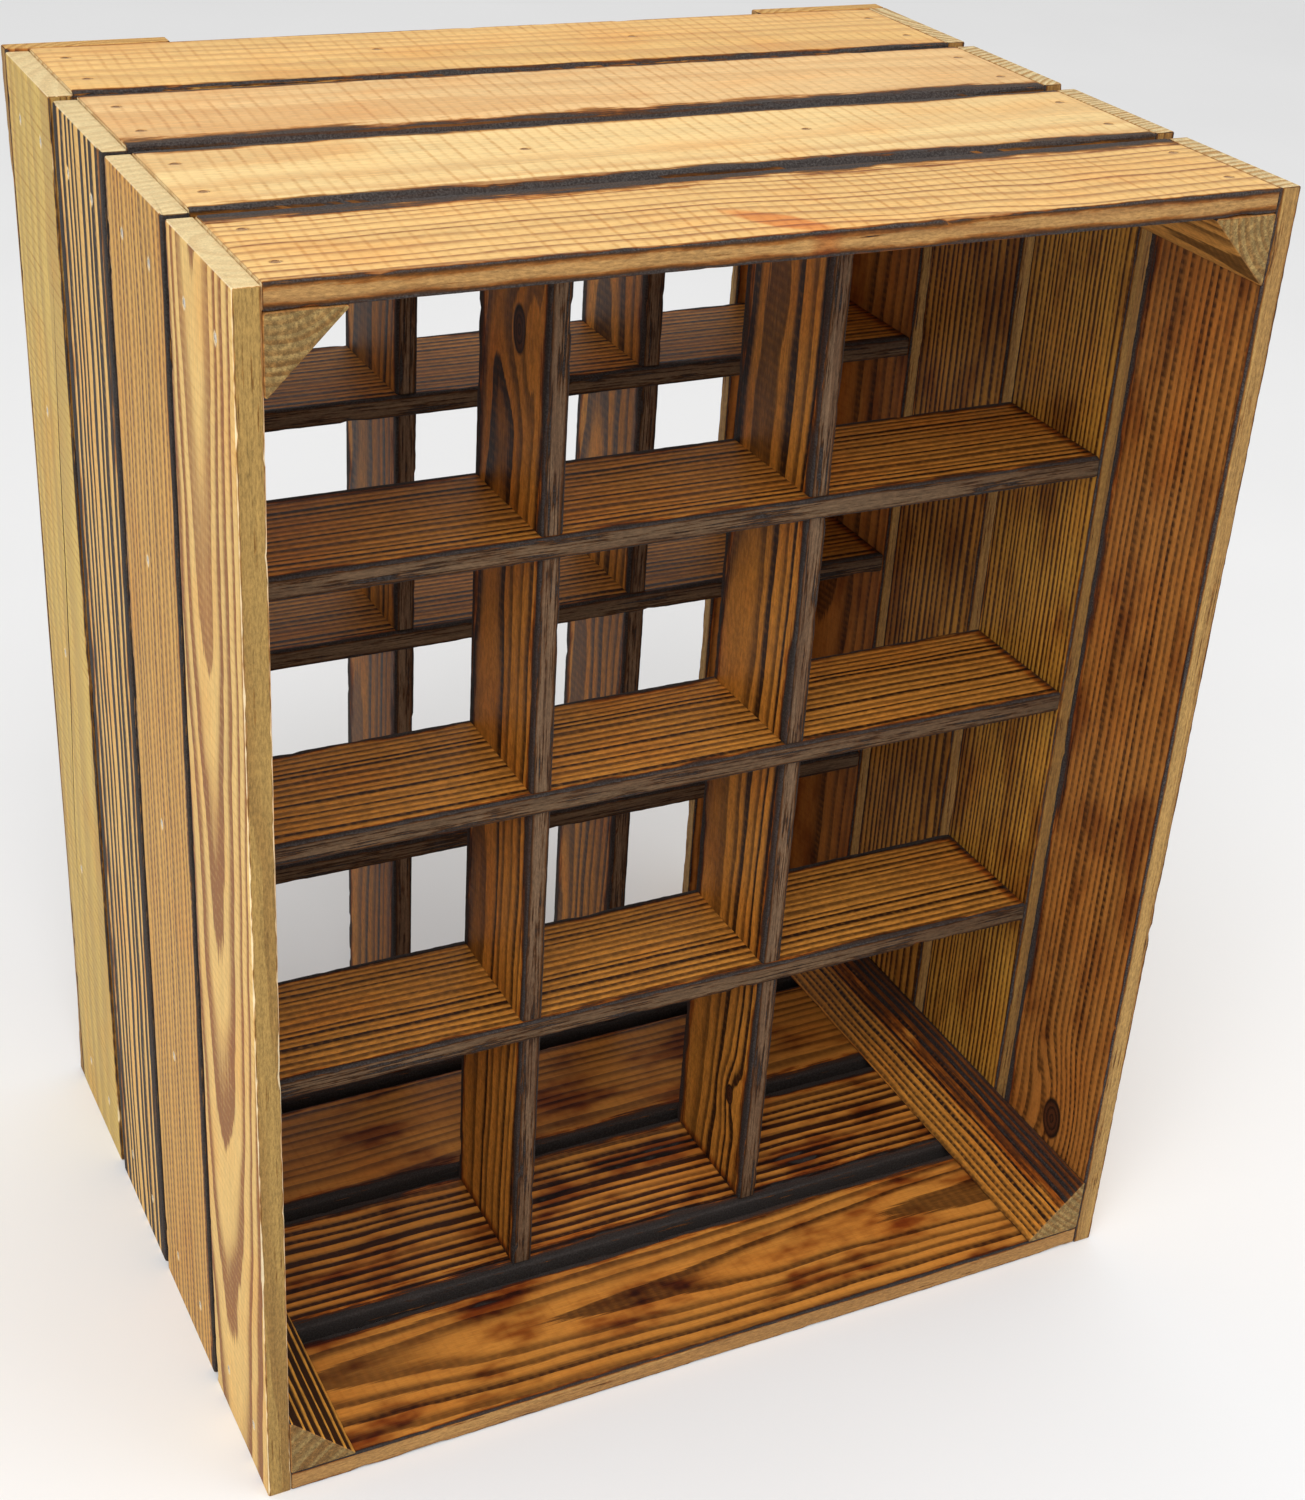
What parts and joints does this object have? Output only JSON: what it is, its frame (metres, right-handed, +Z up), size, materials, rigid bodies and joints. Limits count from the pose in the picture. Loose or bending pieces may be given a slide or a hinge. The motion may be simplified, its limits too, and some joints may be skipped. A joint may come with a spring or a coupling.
{
  "type": "wine rack",
  "caption": "Slatted wooden crate standing on its short side, with half-lapped shelves and uprights that divide it into bays for bottles lying on their sides.",
  "frame": {"origin": "middle of the base, half-way across the width and the depth", "axes": "+Z up along the height, -Y out of the open front, +X to the right as seen from the front"},
  "size_m": [0.4, 0.3, 0.5],
  "materials": {
    "outer_wood": "sawn softwood with charred edges and dark late-wood lines",
    "side_wood": "sawn softwood, some boards strongly striped by flaming",
    "post_wood": "sawn softwood with scorched slanted faces",
    "divider_wood": "flamed orange-brown softwood with fibrous sawn edges",
    "back_wood": "sawn softwood, scorched on the inside face",
    "nail_steel": "bright wire nails, heads just below the wood"
  },
  "bodies": {
    "root": {"left_slat_1": "side_wood", "left_slat_2": "side_wood", "left_slat_3": "side_wood", "left_slat_4": "side_wood", "right_slat_1": "side_wood", "right_slat_2": "side_wood", "right_slat_3": "side_wood", "right_slat_4": "side_wood", "top_slat_1": "outer_wood", "top_slat_2": "outer_wood", "top_slat_3": "outer_wood", "top_slat_4": "outer_wood", "bottom_slat_1": "outer_wood", "bottom_slat_2": "outer_wood", "bottom_slat_3": "outer_wood", "bottom_slat_4": "outer_wood", "post_top_left": "post_wood", "post_top_right": "post_wood", "post_bottom_left": "post_wood", "post_bottom_right": "post_wood", "front_shelf_bottom": "divider_wood", "front_shelf_middle": "divider_wood", "front_shelf_top": "divider_wood", "rear_shelf_bottom": "divider_wood", "rear_shelf_middle": "divider_wood", "rear_shelf_top": "divider_wood", "front_upright_left": "divider_wood", "front_upright_right": "divider_wood", "rear_upright_left": "divider_wood", "rear_upright_right": "divider_wood", "back_runner_left": "back_wood", "back_runner_right": "back_wood", "nails_left": "nail_steel", "nails_right": "nail_steel", "nails_top": "nail_steel", "nails_bottom": "nail_steel", "nails_back": "nail_steel"}
  },
  "joints": []
}
